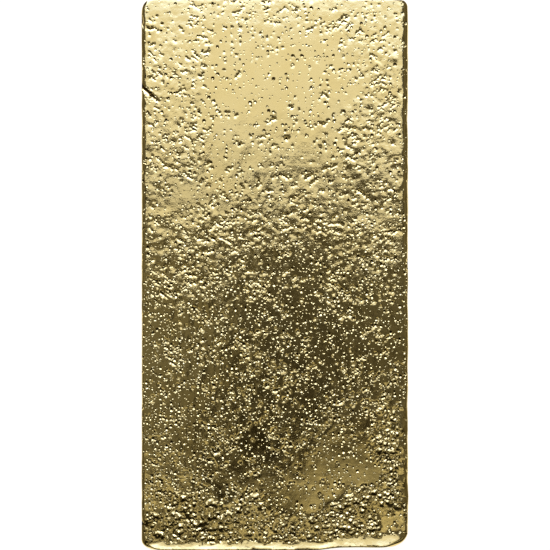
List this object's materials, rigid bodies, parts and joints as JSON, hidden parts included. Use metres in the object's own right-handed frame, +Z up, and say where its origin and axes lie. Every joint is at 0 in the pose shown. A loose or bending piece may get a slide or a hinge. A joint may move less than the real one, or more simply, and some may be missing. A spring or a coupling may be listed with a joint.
{
  "type": "cast gold ingot",
  "caption": "Flat oblong cast gold bar with lightly drafted walls, rounded edges, a pitted mould-side face with a raised lip along its near end, and a shallow shrinkage hollow in its poured face.",
  "frame": {"origin": "middle of the bar's footprint, on the floor that the poured face lies on", "axes": "+Z up, out of the pitted mould-side face; +Y along the bar towards the far end; +X across it"},
  "size_m": [0.0552, 0.113, 0.009],
  "materials": {
    "gold": "as cast, bright with a pitted mould-side face"
  },
  "bodies": {
    "root": {"ingot": "gold"}
  },
  "joints": []
}
